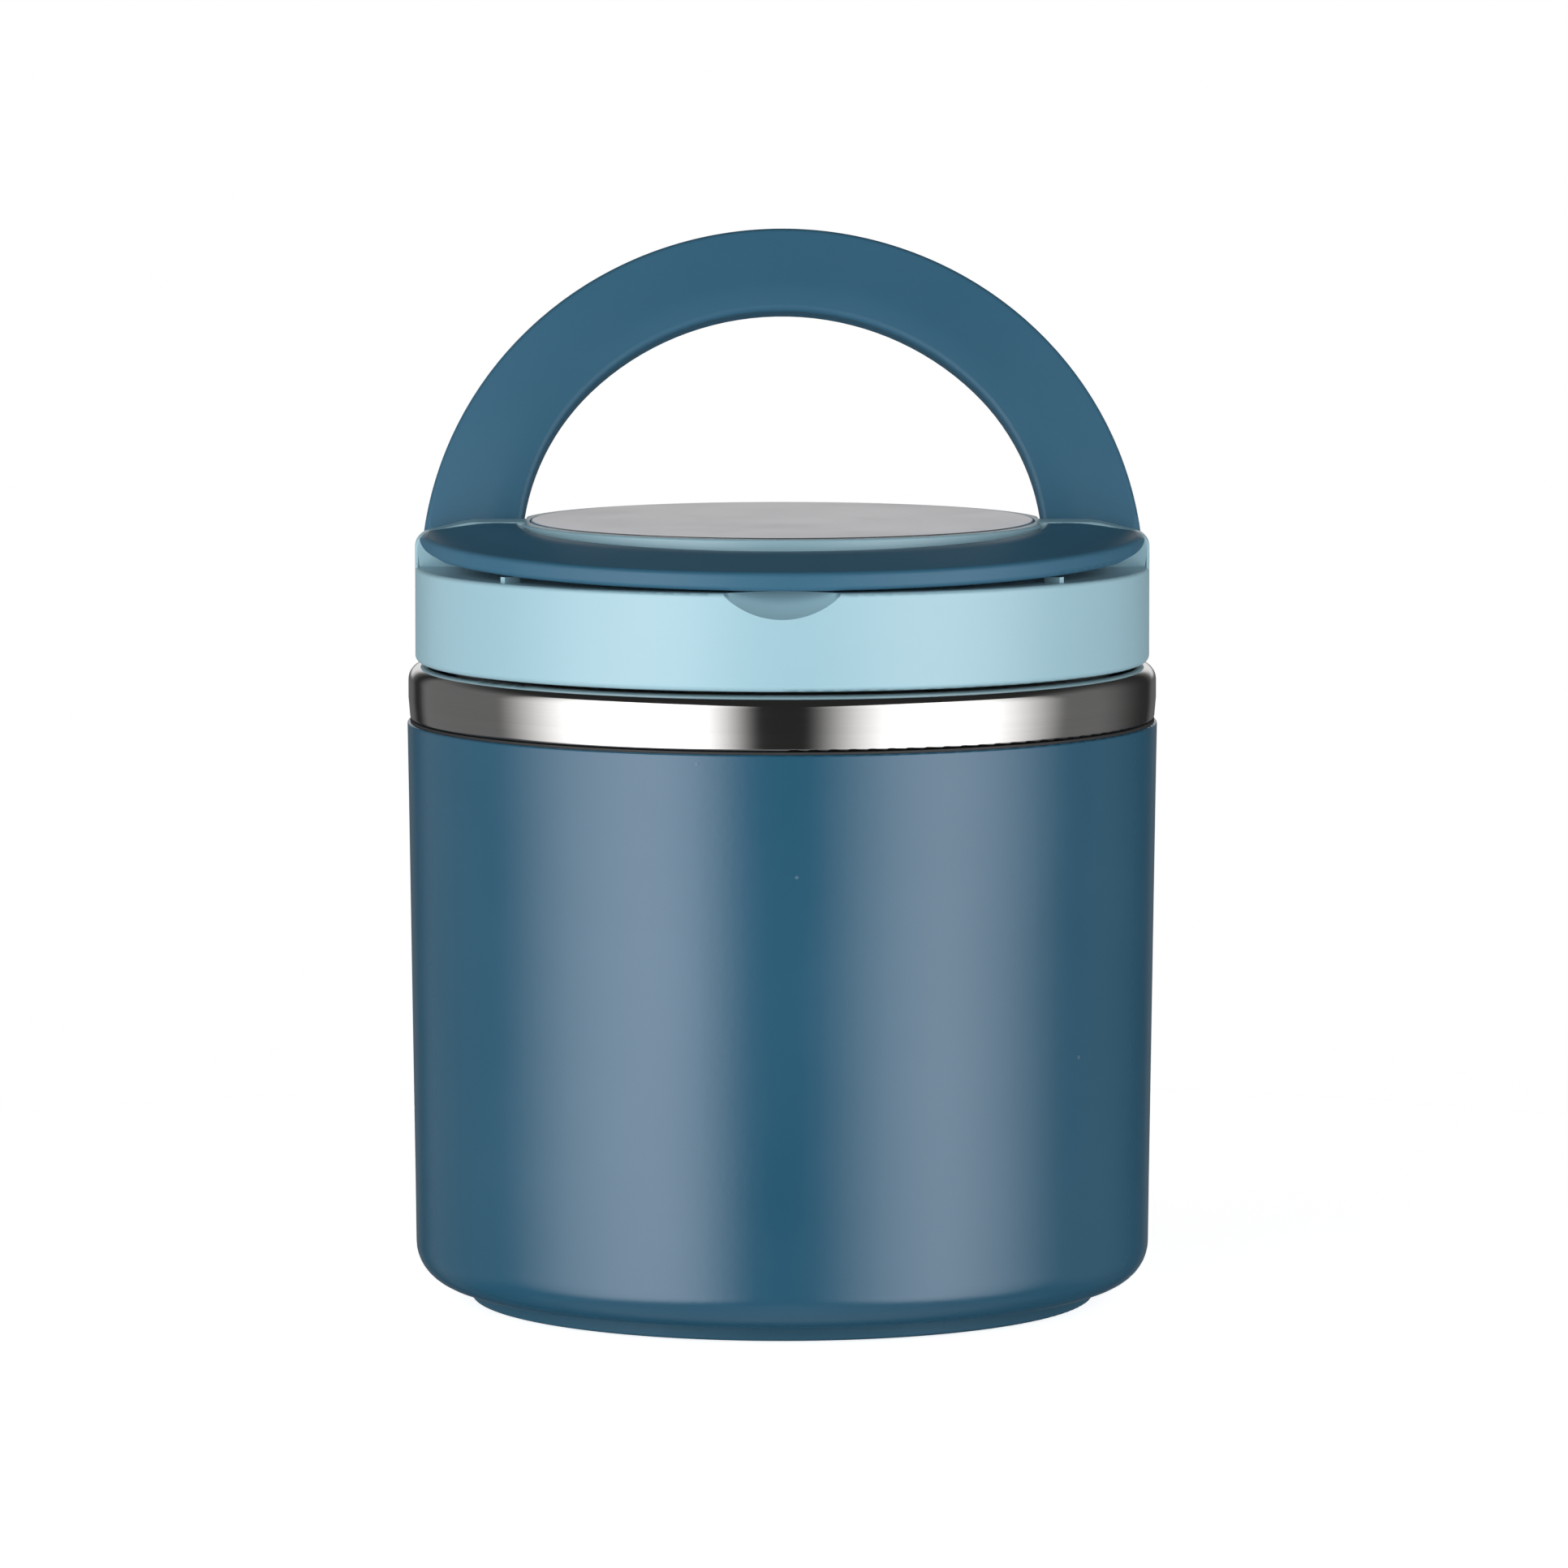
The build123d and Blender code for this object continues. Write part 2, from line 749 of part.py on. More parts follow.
to_hinge = Location((0, hinge_offset, 0))
front_place = Location((0, -hinge_offset, hinge_height), (front_droop_angle, 0, 0)) * to_hinge
back_place = Location((0, hinge_offset, hinge_height), (back_raise_angle, 0, 180)) * to_hinge

with BuildPart() as front_handle:
    with Locations(front_place):
        add(handle.part)

with BuildPart() as back_handle:
    with Locations(back_place):
        add(handle.part)


def hinge_pins(offset):
    """The two pins of one handle, in line on its hinge axis."""
    with BuildPart() as pins:
        for side in (1, -1):
            with BuildSketch(Plane.YZ.offset(side * pin_inner_end)):
                with Locations((offset, hinge_height)):
                    Circle(pin_radius)
            extrude(amount=side * (pin_outer_end - pin_inner_end))
    return pins


front_hinge_pins = hinge_pins(-hinge_offset)
back_hinge_pins = hinge_pins(hinge_offset)

# ---------------------------------------------------------------- files

pieces = {
    "outer_shell": outer_shell,
    "shell_seal": shell_seal,
    "base_cover": base_cover,
    "base_screw": base_screw,
    "base_cushion": base_cushion,
    "foot_pad": foot_pad,
    "outer_can": outer_can,
    "can_base": can_base,
    "inner_liner": inner_liner,
    "heat_shield": heat_shield,
    "getter": getter,
    "vacuum_seal": vacuum_seal,
    "weld_nut": weld_nut,
    "lid_cap": lid_cap,
    "lid_disc": lid_disc,
    "disc_pad": disc_pad,
    "lid_foam": lid_foam,
    "inner_lid": inner_lid,
    "lid_seal": lid_seal,
    "front_handle": front_handle,
    "front_hinge_pins": front_hinge_pins,
    "back_handle": back_handle,
    "back_hinge_pins": back_hinge_pins,
}

for name, piece in pieces.items():
    piece.part.label = name
    export_step(piece.part, f"parts/{name}.step")
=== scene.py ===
from itertools import permutations
from math import cos, hypot, pi, radians, sin

import bpy
import bmesh
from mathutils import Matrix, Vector


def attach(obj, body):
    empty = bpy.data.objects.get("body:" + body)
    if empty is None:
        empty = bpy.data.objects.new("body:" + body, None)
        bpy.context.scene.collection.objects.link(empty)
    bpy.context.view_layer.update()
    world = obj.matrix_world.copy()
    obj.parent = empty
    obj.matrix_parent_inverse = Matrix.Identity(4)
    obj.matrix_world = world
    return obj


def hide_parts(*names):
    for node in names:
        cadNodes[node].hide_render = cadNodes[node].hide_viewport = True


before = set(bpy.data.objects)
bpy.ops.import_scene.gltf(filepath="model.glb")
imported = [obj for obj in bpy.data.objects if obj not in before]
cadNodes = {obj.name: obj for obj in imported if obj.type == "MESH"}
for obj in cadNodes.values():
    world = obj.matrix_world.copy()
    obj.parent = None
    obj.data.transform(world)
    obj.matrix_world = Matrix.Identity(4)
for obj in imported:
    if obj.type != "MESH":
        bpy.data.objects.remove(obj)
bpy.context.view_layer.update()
scene = bpy.context.scene
print("frame loaded with", len(cadNodes), "CAD nodes")


class Wire:
    # One output of a node, so that sums of outputs are written as plain sums

    def __init__(self, sheet, socket):
        self.sheet = sheet
        self.socket = socket

    def math(self, operation, first, second):
        return self.sheet.node("ShaderNodeMath", {"operation": operation}, {0: first, 1: second})

    def __add__(self, other):
        return self.math("ADD", self, other)

    def __radd__(self, other):
        return self.math("ADD", other, self)

    def __sub__(self, other):
        return self.math("SUBTRACT", self, other)

    def __rsub__(self, other):
        return self.math("SUBTRACT", other, self)

    def __mul__(self, other):
        return self.math("MULTIPLY", self, other)

    def __rmul__(self, other):
        return self.math("MULTIPLY", other, self)

    def over(self, other):
        return self.math("GREATER_THAN", self, other)

    def ramp(self, low, high, start=0.0, end=1.0):
        # from start to end as this goes from low to high, eased at both ends
        return self.sheet.node(
            "ShaderNodeMapRange",
            {"interpolation_type": "SMOOTHSTEP"},
            {0: self, 1: low, 2: high, 3: start, 4: end},
        )


class Sheet:
    # The nodes of one material, lamp or world

    def __init__(self, tree):
        self.tree = tree

    def node(self, kind, settings=None, values=None, output=0):
        made = self.tree.nodes.new(kind)
        for name, value in (settings or {}).items():
            setattr(made, name, value)
        for name, value in (values or {}).items():
            self.feed(made.inputs[name], value)
        return Wire(self, made.outputs[output])

    def feed(self, socket, value):
        if isinstance(value, Wire):
            self.tree.links.new(value.socket, socket)
        else:
            socket.default_value = value

    def split(self, vector):
        # its x, y and z
        made = self.node("ShaderNodeSeparateXYZ", None, {0: vector}).socket.node
        return [Wire(self, output) for output in made.outputs]


class Finish(Sheet):
    # A material with its Principled shader; where is the place on the object, in metres

    def __init__(self, name, **constants):
        self.material = bpy.data.materials.new(name)
        self.material.use_nodes = True
        super().__init__(self.material.node_tree)
        self.shader = self.tree.nodes["Principled BSDF"]
        self.where = self.node("ShaderNodeTexCoord", output="Object")
        self.set(**constants)

    def set(self, **values):
        for name, value in values.items():
            self.feed(self.shader.inputs[socketNames[name]], value)

    def blend(self, factor, first, second):
        # 6 and 7 are the Mix node's two colours, and its output 2 is the mixed one
        settings = {"data_type": "RGBA", "blend_type": "MIX"}
        return self.node("ShaderNodeMix", settings, {0: factor, 6: first, 7: second}, 2)

    def cloud(self, scale, detail=2, where=None, settings=None, **more):
        values = {"Scale": scale, "Detail": detail, "Vector": where or self.where, **more}
        return self.node("ShaderNodeTexNoise", settings, values)

    def cells(self, scale):
        # how far off the middle of the nearest cell is, as a share of the cells' size
        values = {"Vector": self.where, "Scale": scale}
        return self.node("ShaderNodeTexVoronoi", None, values, "Distance")

    def stretched(self, scales):
        # the place with each axis scaled, for streaks and brush lines
        settings = {"operation": "MULTIPLY"}
        return self.node("ShaderNodeVectorMath", settings, {0: self.where, 1: scales})

    def radius(self):
        # distance from the jar's axis
        flat = self.stretched((1, 1, 0))
        return self.node("ShaderNodeVectorMath", {"operation": "LENGTH"}, {0: flat}, "Value")

    def bump(self, height, distance):
        return self.node("ShaderNodeBump", None, {"Height": height, "Distance": distance})


socketNames = {
    "colour": "Base Color",
    "roughness": "Roughness",
    "metallic": "Metallic",
    "ior": "IOR",
    "gloss": "Specular IOR Level",
    "glossTint": "Specular Tint",
    "normal": "Normal",
    "subsurface": "Subsurface Weight",
}


def dress(material, *names):
    for name in names:
        slots = cadNodes[name].data.materials
        slots.clear()
        slots.append(material)


# Moulded plastics: a little mottled, with fine peel on the skin and a few specks of dust.
# Pattern sizes are in repeats per metre, and depths are in metres.
plasticSkin = {
    "ior": 1.5,
    "mottle": 24,
    "mottleSpan": (0.3, 0.7),
    "mottleShare": 0.7,  # the rest of the colour's change is the flow's
    "flow": (40, 40, 9),
    "dustCells": 130,
    "dustSpan": (0.03, 0.06),  # a speck's core and edge, as shares of its cell
    "dustPatches": 60,
    "dustRarity": 0.66,  # only the patches over this hold dust
    "dustShare": 0.35,
    "dustRoughness": 0.2,
    "dustHeight": 1.5,
    "wear": 90,
    "wearRoughness": 0.07,
    "swell": 5,  # times the peel's width
    "swellShare": 0.6,
}
shellFinish = {
    "deep": (0.015, 0.090, 0.155, 1),
    "light": (0.023, 0.103, 0.173, 1),
    "dust": (0.16, 0.22, 0.28, 1),
    "roughness": 0.20,
    "gloss": 1.0,
    "glossTint": (0.84, 0.88, 1.0, 1),
    "peelSize": 900,
    "peelDepth": 0.000012,
}
handleFinish = {
    "deep": (0.037, 0.130, 0.210, 1),
    "light": (0.046, 0.146, 0.232, 1),
    "dust": (0.16, 0.22, 0.28, 1),
    "roughness": 0.38,
    "gloss": 0.35,
    "glossTint": (0.90, 0.93, 1.0, 1),
    "peelSize": 1300,
    "peelDepth": 0.000010,
}
baseFinish = {
    "deep": (0.032, 0.112, 0.175, 1),
    "light": (0.039, 0.124, 0.190, 1),
    "dust": (0.16, 0.22, 0.28, 1),
    "roughness": 0.5,
    "gloss": 0.2,
    "glossTint": (1.0, 1.0, 1.0, 1),
    "peelSize": 1300,
    "peelDepth": 0.000012,
}
lidFinish = {
    "deep": (0.346, 0.567, 0.658, 1),
    "light": (0.360, 0.584, 0.675, 1),
    "dust": (0.28, 0.45, 0.52, 1),
    "roughness": 0.31,
    "gloss": 0.7,
    "glossTint": (1.0, 1.0, 1.0, 1),
    "peelSize": 1100,
    "peelDepth": 0.000010,
}


def mouldedPlastic(name, values):
    values = {**plasticSkin, **values}
    finish = Finish(name, ior=values["ior"], gloss=values["gloss"], glossTint=values["glossTint"])
    share = values["mottleShare"]
    mottle = finish.cloud(values["mottle"], detail=4).ramp(*values["mottleSpan"])
    flow = finish.cloud(1, detail=3, where=finish.stretched(values["flow"]))
    colour = finish.blend(mottle * share + flow * (1 - share), values["deep"], values["light"])
    spots = 1 - finish.cells(values["dustCells"]).ramp(*values["dustSpan"])
    dust = spots * finish.cloud(values["dustPatches"], detail=1).over(values["dustRarity"])
    wear = finish.cloud(values["wear"], detail=3) - 0.5
    roughness = values["roughness"] + wear * values["wearRoughness"]
    peel = finish.cloud(values["peelSize"])
    swell = finish.cloud(values["peelSize"] / values["swell"], detail=1)
    height = peel + swell * values["swellShare"] + dust * values["dustHeight"]
    finish.set(
        colour=finish.blend(dust * values["dustShare"], colour, values["dust"]),
        roughness=roughness + dust * values["dustRoughness"],
        normal=finish.bump(height, values["peelDepth"]),
    )
    return finish.material


# Steel: turned or brushed round the jar's axis, so the lines lie level on every face
steelSkin = {
    "lines": 5200,
    "lineRun": 14,  # the fewer, the longer a line keeps its shade on its way round
    "lineShare": 0.5,
    "bands": 900,
    "bandRun": 6,
    "bandShare": 0.5,
    "bandHeight": 0.6,
    "smudge": 45,
    "smudgeSpan": (0.35, 0.75),
    "smudgeRoughness": 0.03,
}
bandFinish = {
    "colour": (0.60, 0.59, 0.58, 1),
    "tint": (0.70, 0.69, 0.68, 1),
    "roughness": 0.08,
    "spread": 0.05,
    "depth": 0.0000010,
}
linerFinish = {
    "colour": (0.62, 0.62, 0.61, 1),
    "tint": (0.74, 0.74, 0.73, 1),
    "roughness": 0.34,
    "spread": 0.06,
    "depth": 0.0000035,
}
discFinish = {
    "colour": (0.85, 0.84, 0.87, 1),
    "tint": (0.95, 0.94, 0.97, 1),
    "roughness": 0.31,
    "spread": 0.05,
    "depth": 0.0000045,
}


def turnedLines(finish, radius, across, along):
    # the radius is the fourth measure of the noise, so a flat face gets rings
    place = finish.stretched((along, along, across))
    settings = {"noise_dimensions": "4D"}
    return finish.cloud(1, where=place, settings=settings, W=radius * across)


def turnedSteel(name, values):
    values = {**steelSkin, **values}
    finish = Finish(name, metallic=1.0)
    radius = finish.radius()
    lines = turnedLines(finish, radius, values["lines"], values["lineRun"])
    bands = turnedLines(finish, radius, values["bands"], values["bandRun"])
    smudge = finish.cloud(values["smudge"], detail=4).ramp(*values["smudgeSpan"])
    shade = lines * values["lineShare"] + bands * values["bandShare"]
    roughness = values["roughness"] + (lines - 0.5) * values["spread"]
    finish.set(
        colour=finish.blend(shade, values["colour"], values["tint"]),
        roughness=roughness + smudge * values["smudgeRoughness"],
        normal=finish.bump(lines + bands * values["bandHeight"], values["depth"]),
    )
    return finish.material


# Plain steel pieces: pins, screw, nut
hardwareFinish = {
    "colour": (0.42, 0.42, 0.43, 1),
    "tint": (0.56, 0.56, 0.57, 1),
    "grain": 700,
    "roughness": 0.28,
    "spread": 0.12,
    "brush": (6000, 300, 300),
    "depth": 0.000003,
}


def hardwareSteel(name, values):
    finish = Finish(name, metallic=1.0)
    grain = finish.cloud(values["grain"], detail=3)
    brush = finish.cloud(1, where=finish.stretched(values["brush"]))
    finish.set(
        colour=finish.blend(grain, values["colour"], values["tint"]),
        roughness=values["roughness"] + grain * values["spread"],
        normal=finish.bump(brush, values["depth"]),
    )
    return finish.material


# Soft and dull pieces
softSkin = {"subsurface": 0.0, "grainShare": 0.5, "bloom": 50, "bloomShare": 0.5, "spread": 0.2}
sealFinish = {
    "deep": (0.012, 0.013, 0.014, 1),
    "light": (0.03, 0.032, 0.034, 1),
    "roughness": 0.6,
    "grain": 1800,
    "depth": 0.00002,
}
footFinish = {**sealFinish, "roughness": 0.7, "grain": 1500, "depth": 0.00004}
siliconeFinish = {
    "deep": (0.62, 0.64, 0.64, 1),
    "light": (0.74, 0.76, 0.76, 1),
    "subsurface": 0.1,
    "roughness": 0.45,
    "grain": 900,
    "depth": 0.00001,
}
innerLidFinish = {
    "deep": (0.60, 0.63, 0.65, 1),
    "light": (0.70, 0.73, 0.75, 1),
    "roughness": 0.4,
    "grain": 1200,
    "depth": 0.00001,
}
foamFinish = {
    "deep": (0.60, 0.59, 0.55, 1),
    "light": (0.80, 0.79, 0.74, 1),
    "roughness": 0.9,
    "cells": 1500,
    "depth": 0.0002,
}
foilFinish = {
    "colour": (0.75, 0.62, 0.5, 1),
    "creases": 120,
    "roughness": 0.2,
    "spread": 0.2,
    "depth": 0.0004,
}


def softPiece(name, values):
    values = {**softSkin, **values}
    finish = Finish(name, subsurface=values["subsurface"])
    grain = finish.cloud(values["grain"], detail=3)
    bloom = finish.cloud(values["bloom"], detail=4)
    shade = grain * values["grainShare"] + bloom * values["bloomShare"]
    finish.set(
        colour=finish.blend(shade, values["deep"], values["light"]),
        roughness=values["roughness"] + (bloom - 0.5) * values["spread"],
        normal=finish.bump(grain, values["depth"]),
    )
    return finish.material


def foam(name, values):
    finish = Finish(name, roughness=values["roughness"])
    cells = finish.cells(values["cells"])
    finish.set(
        colour=finish.blend(cells, values["deep"], values["light"]),
        normal=finish.bump(cells, values["depth"]),
    )
    return finish.material


def foil(name, values):
    finish = Finish(name, metallic=1.0, colour=values["colour"])
    creases = finish.cloud(values["creases"], detail=6)
    finish.set(
        roughness=values["roughness"] + creases * values["spread"],
        normal=finish.bump(creases, values["depth"]),
    )
    return finish.material


dress(mouldedPlastic("shellBluePlastic", shellFinish), "outer_shell")
dress(mouldedPlastic("baseBluePlastic", baseFinish), "base_cover")
dress(mouldedPlastic("handleBluePlastic", handleFinish), "front_handle", "back_handle")
dress(mouldedPlastic("lidPaleBluePlastic", lidFinish), "lid_cap")
dress(turnedSteel("bandPolishedSteel", bandFinish), "outer_can")
dress(turnedSteel("linerBrushedSteel", linerFinish), "inner_liner", "can_base")
dress(turnedSteel("discSpunSteel", discFinish), "lid_disc")
hardware = hardwareSteel("hardwareSteel", hardwareFinish)
dress(hardware, "front_hinge_pins", "back_hinge_pins", "base_screw", "weld_nut")
dress(hardware, "vacuum_seal", "getter")
dress(softPiece("darkSealRubber", sealFinish), "shell_seal")
dress(softPiece("footRubber", footFinish), "foot_pad")
dress(softPiece("silicone", siliconeFinish), "lid_seal")
dress(softPiece("innerLidPlastic", innerLidFinish), "inner_lid")
dress(foam("whiteFoam", foamFinish), "base_cushion", "disc_pad", "lid_foam")
dress(foil("copperedFoil", foilFinish), "heat_shield")
print("materials made")


# Turned pieces are shown by copies of their nodes, of the same shape. Their rounded edges are
# slivers that shade unevenly, so each ring of corners gets its mean slope, right round the jar.
turnedPieces = {
    "sleeve": ("outer_shell", "jar", "shell_blue"),
    "baseCover": ("base_cover", "jar", "shell_blue"),
    "steelCan": ("outer_can", "jar", "vessel_steel"),
    "steelLiner": ("inner_liner", "jar", "liner_steel"),
    "lidMoulding": ("lid_cap", "lid", "lid_blue"),
    "topDisc": ("lid_disc", "lid", "disc_steel"),
    "innerLid": ("inner_lid", "lid", "inner_lid_plastic"),
}
evenRings = {
    "weld": 0.000002,  # corners less than this apart are one
    "sharpAngle": 30,  # faces that slope further apart than this have an edge between them
    "looseAngle": 60,  # a face this far from every slope of its ring keeps its own
    "sliver": 0.00000025,  # but not if its area is less than this
    "step": 0.00001,  # corners on one ring agree to this in radius and height
    "offset": 0.23,  # of a step, which keeps round sizes off the border between two
    "fullRing": 24,  # a slope counts if at least so many faces have it
    "level": 0.99,  # a flat face's normal goes up or down by at least this
}


def profileOf(place):
    # distance from the axis, and height
    return hypot(place.x, place.y), place.z


def ringOf(place, values):
    # corners on one ring share this pair
    return tuple(round(size / values["step"] + values["offset"]) for size in profileOf(place))


def outwards(place):
    return Vector((place.x, place.y, 0)).normalized()


def facing(normal, place):
    # how a normal slopes, outwards and up
    return Vector((normal.dot(outwards(place)), normal.z))


def ringLinks(mesh, values):
    # for each ring, the rings that faces join it to: how far off, how the faces slope, how many
    links = {}
    for face in mesh.polygons:
        places = [mesh.vertices[corner].co for corner in face.vertices]
        rings = {ringOf(place, values): Vector(profileOf(place)) for place in places}
        if len(rings) == 1 and abs(face.normal.z) > values["level"]:
            ring, profile = rings.popitem()
            rings = {ring: profile, "axis": Vector((0, profile.y))}
        if len(rings) != 2:
            continue
        for ring, other in permutations(rings):
            if ring == "axis":
                continue
            offset = rings[other] - rings[ring]
            slope = Vector((-offset.y, offset.x)).normalized()
            if slope.dot(facing(face.normal, face.center)) < 0:
                slope.negate()
            link = links.setdefault(ring, {}).setdefault(other, [offset, slope, 0])
            link[2] += 1
    return links


def ringSlopes(links, values):
    # The slope of the surface at a ring towards each ring that it's joined to. Slopes that are
    # near each other count as one: on a rounded edge the mean of both sides, weighted so that
    # beside a wall it is the wall's.
    limit = cos(radians(values["sharpAngle"]))
    groups = []
    for other, (offset, slope, count) in links.items():
        near, far = [], []
        for group in groups:
            joins = any(links[name][1].dot(slope) > limit for name in group)
            (near if joins else far).append(group)
        groups = far + [sum(near, [other])]
    slopes = {}
    for group in groups:
        joined = sorted((links[other] for other in group), key=lambda link: link[0].length)
        if sum(count for offset, slope, count in joined) < values["fullRing"]:
            continue
        nearest = {}
        for offset, slope, count in joined:
            side = offset.x * slope.y > offset.y * slope.x
            nearest.setdefault(side, slope * offset.length)
        mean = sum(nearest.values(), Vector((0, 0))).normalized()
        slopes.update(dict.fromkeys(group, mean))
    return slopes


def cornerSlope(face, place, others, slopes, values):
    # towards the only other ring of the face, or else the nearest to the face's own slope
    slope = slopes.get(*others) if len(others) == 1 else None
    if slope is None:
        own = facing(face.normal, place)
        slope = max(slopes.values(), key=own.dot)
        astray = slope.dot(own) < cos(radians(values["looseAngle"]))
        if astray and face.area > values["sliver"]:
            return None
    return slope


def evenNormals(mesh, values):
    slopesAt = {ring: ringSlopes(links, values) for ring, links in ringLinks(mesh, values).items()}
    normals = [corner.vector.copy() for corner in mesh.corner_normals]
    for face in mesh.polygons:
        places = [mesh.vertices[corner].co for corner in face.vertices]
        rings = [ringOf(place, values) for place in places]
        for loop, place, ring in zip(face.loop_indices, places, rings):
            if not slopesAt.get(ring):
                continue
            others = set(rings) - {ring} or {"axis"}
            slope = cornerSlope(face, place, others, slopesAt[ring], values)
            if slope is not None:
                normals[loop] = outwards(place) * slope.x + Vector((0, 0, slope.y))
    return normals


def addObject(name, data):
    made = bpy.data.objects.new(name, data)
    scene.collection.objects.link(made)
    return made


def evenCopy(name, node, values):
    shape = bmesh.new()
    shape.from_mesh(node.data)
    bmesh.ops.remove_doubles(shape, verts=shape.verts, dist=values["weld"])
    for face in shape.faces:
        face.smooth = True
    sharpAngle = radians(values["sharpAngle"])
    for edge in shape.edges:
        edge.smooth = not edge.is_manifold or edge.calc_face_angle() < sharpAngle
    mesh = bpy.data.meshes.new(name)
    shape.to_mesh(mesh)
    shape.free()
    if "custom_normal" in mesh.attributes:
        mesh.attributes.remove(mesh.attributes["custom_normal"])
    mesh.normals_split_custom_set(evenNormals(mesh, values))
    mesh.materials.append(node.data.materials[0])
    return addObject(name, mesh)


for name, (node, body, slot) in turnedPieces.items():
    piece = evenCopy(name, cadNodes[node], evenRings)
    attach(piece, body)
    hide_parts(node)
print("turned pieces evened")


# The table, which fades into the background
table = {
    "size": 3.0,
    "shade": (0.80, 0.80, 0.80, 1),
    "roughness": 0.8,
    "glow": 0.84,  # only the camera sees it
    "fade": (0.12, 0.40),  # starts and ends this far from the jar's axis
}


def makeTable(values):
    finish = Finish("tableWhite", roughness=values["roughness"], colour=values["shade"])
    plain = Wire(finish, finish.shader.outputs[0])
    glow = finish.node("ShaderNodeEmission", None, {"Strength": values["glow"]})
    lit = finish.node("ShaderNodeAddShader", None, {0: plain, 1: glow})
    seen = finish.node("ShaderNodeLightPath", output="Is Camera Ray")
    surface = finish.node("ShaderNodeMixShader", None, {0: seen, 1: plain, 2: lit})
    clear = finish.node("ShaderNodeBsdfTransparent")
    far = finish.radius().ramp(*values["fade"])
    faded = finish.node("ShaderNodeMixShader", None, {0: far, 1: surface, 2: clear})
    finish.feed(finish.tree.nodes["Material Output"].inputs["Surface"], faded)

    plane = bmesh.new()
    bmesh.ops.create_grid(plane, x_segments=1, y_segments=1, size=values["size"] / 2)
    mesh = bpy.data.meshes.new("table")
    plane.to_mesh(mesh)
    plane.free()
    mesh.materials.append(finish.material)
    top = addObject("table", mesh)
    top.visible_glossy = False
    top.visible_shadow = False


# Softboxes stand round the jar, each turned to it. Azimuth 0 is the camera's side, and low and
# high are the heights of their ends. They fade over a share of their width from the side near
# the camera and from the side far from it, and over a share of their height from the low end.
softboxes = {
    "leftSoftbox": {
        "azimuth": -51,
        "distance": 0.75,
        "width": 1.50,
        "low": -0.75,
        "high": 0.70,
        "radiance": 2.6,
        "nearFade": 0.38,
        "farFade": 0.61,
        "lowFade": 0.22,
    },
    "rightSoftbox": {
        "azimuth": 51,
        "distance": 0.75,
        "width": 1.50,
        "low": -0.75,
        "high": 0.65,
        "radiance": 2.5,
        "nearFade": 0.52,
        "farFade": 0.60,
        "lowFade": 0.22,
    },
}


def makeSoftbox(name, values):
    data = bpy.data.lights.new(name, "AREA")
    data.shape = "RECTANGLE"
    data.size = values["width"]
    data.size_y = values["high"] - values["low"]
    data.energy = values["radiance"] * pi * data.size * data.size_y
    data.use_nodes = True
    sheet = Sheet(data.node_tree)
    place = sheet.node("ShaderNodeNewGeometry", output="Parametric")
    across, upwards = sheet.split(place)[:2]
    if values["azimuth"] > 0:
        across = 1 - across  # 0 at the far side of either lamp
    fade = across.ramp(0, values["farFade"]) * (1 - across.ramp(1 - values["nearFade"], 1))
    fade = fade * upwards.ramp(0, values["lowFade"])
    sheet.feed(data.node_tree.nodes["Emission"].inputs["Strength"], fade)

    lamp = addObject(name, data)
    turn = radians(values["azimuth"])
    middle = (values["low"] + values["high"]) / 2
    lamp.location = Vector((sin(turn), -cos(turn), 0)) * values["distance"] + Vector((0, 0, middle))
    lamp.rotation_euler = (radians(90), 0, turn)
    lamp.visible_camera = False


# The room. Directions run from -1 to 1: up, back (away from the camera) and right. A part of it
# fades in over the pair that is its start or bottom, and out over the pair that is its top or end.
studio = {
    "background": 1.0,  # what the camera sees
    # what lights dull surfaces
    "fill": 0.20,
    "ceiling": 0.012,  # in place of the fill, from above
    "ceilingStart": (0, 0.6),
    "rear": 1.0,
    "rearStart": (0.35, 0.9),
    "rearTop": (0, 0.4),
    # what shiny surfaces mirror
    "dark": 0.026,
    "wallTop": (0.3, 0.7),  # of the side and rear walls
    "side": 0.15,
    "sideStart": (-0.2, 0.1),
    "sideBottom": (-0.6, -0.3),
    "middle": (-0.1, 0.1),  # from the left side to the right one
    "sideEnd": (0.78, 0.38),  # where the left and the right side start to end
    "sideGone": 0.88,
    "back": 0.10,
    "backStart": (0.89, 0.95),
    "backdrop": 0.73,
    "backdropStart": (0.93, 0.98),
    "backdropTop": (0.2, 0.45),
    "backdropBottom": (-0.03, 0.06),
    "floor": 0.30,
    "floorTop": (-0.95, -0.5),
    "floorEnd": (0.1, 0.6),
}


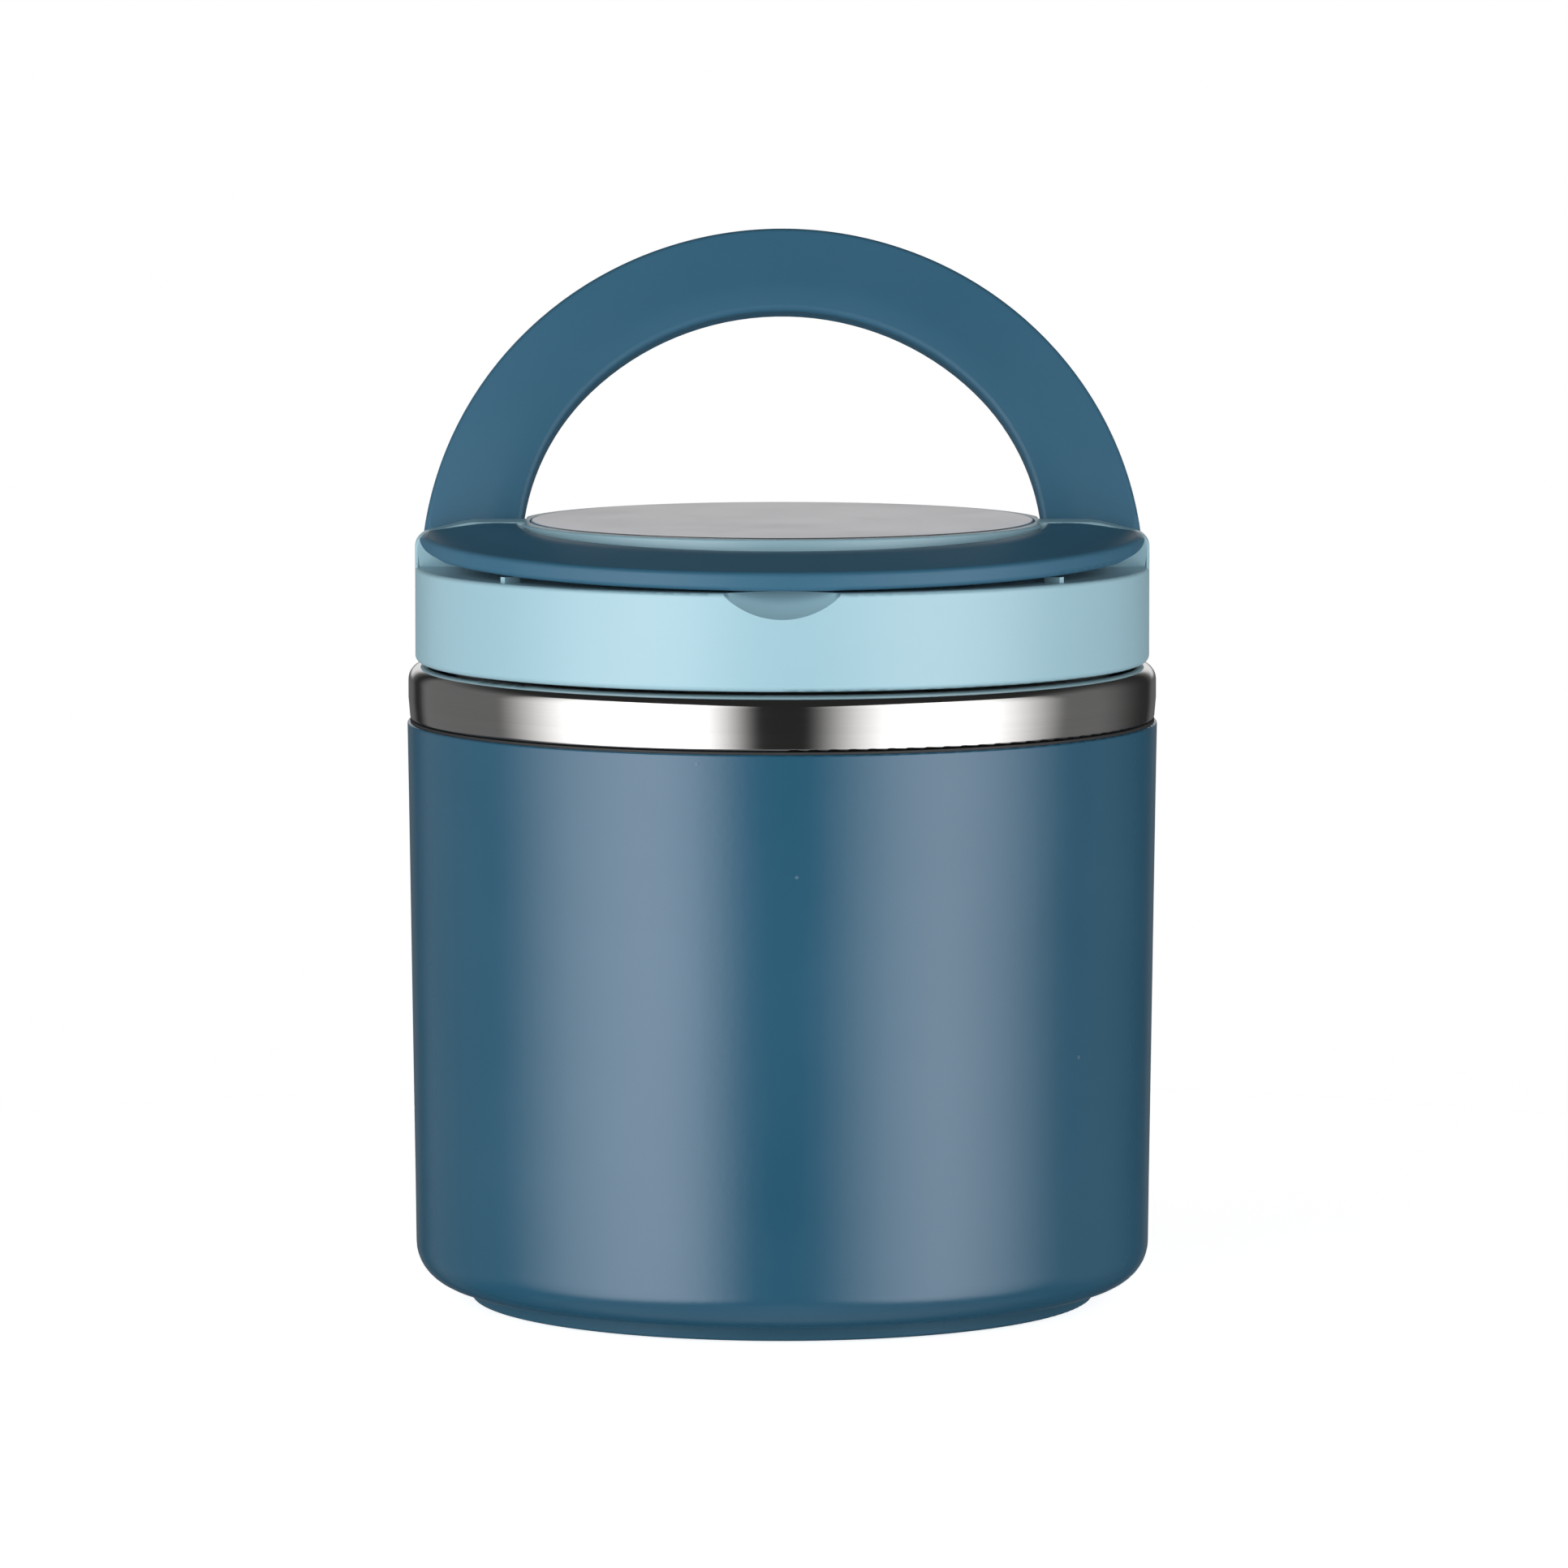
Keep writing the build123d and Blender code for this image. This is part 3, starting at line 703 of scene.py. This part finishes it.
def makeWorld(values):
    world = bpy.data.worlds.new("studio")
    scene.world = world
    world.use_nodes = True
    sheet = Sheet(world.node_tree)
    right, back, up = sheet.split(sheet.node("ShaderNodeTexCoord", output="Generated"))
    wall = 1 - up.ramp(*values["wallTop"])
    sideEnd = right.ramp(*values["middle"], *values["sideEnd"])
    side = back.ramp(*values["sideStart"]) * (1 - back.ramp(sideEnd, values["sideGone"]))
    side = side * wall * up.ramp(*values["sideBottom"])
    rearWall = back.ramp(*values["backStart"]) * wall
    backdrop = back.ramp(*values["backdropStart"]) * (1 - up.ramp(*values["backdropTop"]))
    backdrop = backdrop * up.ramp(*values["backdropBottom"])
    floor = (1 - up.ramp(*values["floorTop"])) * (1 - back.ramp(*values["floorEnd"]))
    mirrored = values["dark"] + side * values["side"] + rearWall * values["back"]
    mirrored = mirrored + backdrop * values["backdrop"] + floor * values["floor"]

    rear = back.ramp(*values["rearStart"]) * (1 - up.ramp(*values["rearTop"]))
    fill = up.ramp(*values["ceilingStart"], values["fill"], values["ceiling"])
    fill = fill + rear * values["rear"]

    glossy = sheet.node("ShaderNodeLightPath", output="Is Glossy Ray")
    direct = sheet.node("ShaderNodeLightPath", output="Is Camera Ray")
    strength = direct * values["background"] + glossy * mirrored + (1 - glossy - direct) * fill
    sky = world.node_tree.nodes["Background"]
    sheet.feed(sky.inputs["Color"], (1, 1, 1, 1))
    sheet.feed(sky.inputs["Strength"], strength)


# The camera. Its focal length and centre are in pixels of a square render, this many wide.
framing = {
    "pixels": 1932,
    "focalPixels": 11966,
    "centreColumn": 964.9,
    "place": (0.00016, -1.7816, 0.2731),
    "down": 5.706,  # in degrees
    "sensor": 36.0,
}


def makeCamera(values):
    data = bpy.data.cameras.new("camera")
    data.sensor_width = values["sensor"]
    data.lens = values["focalPixels"] * values["sensor"] / values["pixels"]
    data.shift_x = (values["pixels"] / 2 - values["centreColumn"]) / values["pixels"]
    camera = addObject("camera", data)
    camera.location = values["place"]
    camera.rotation_euler = (radians(90 - values["down"]), 0, 0)
    scene.camera = camera


makeTable(table)
for name, values in softboxes.items():
    makeSoftbox(name, values)
makeWorld(studio)
makeCamera(framing)
scene.view_settings.view_transform = "Standard"
print("table, light and camera set")
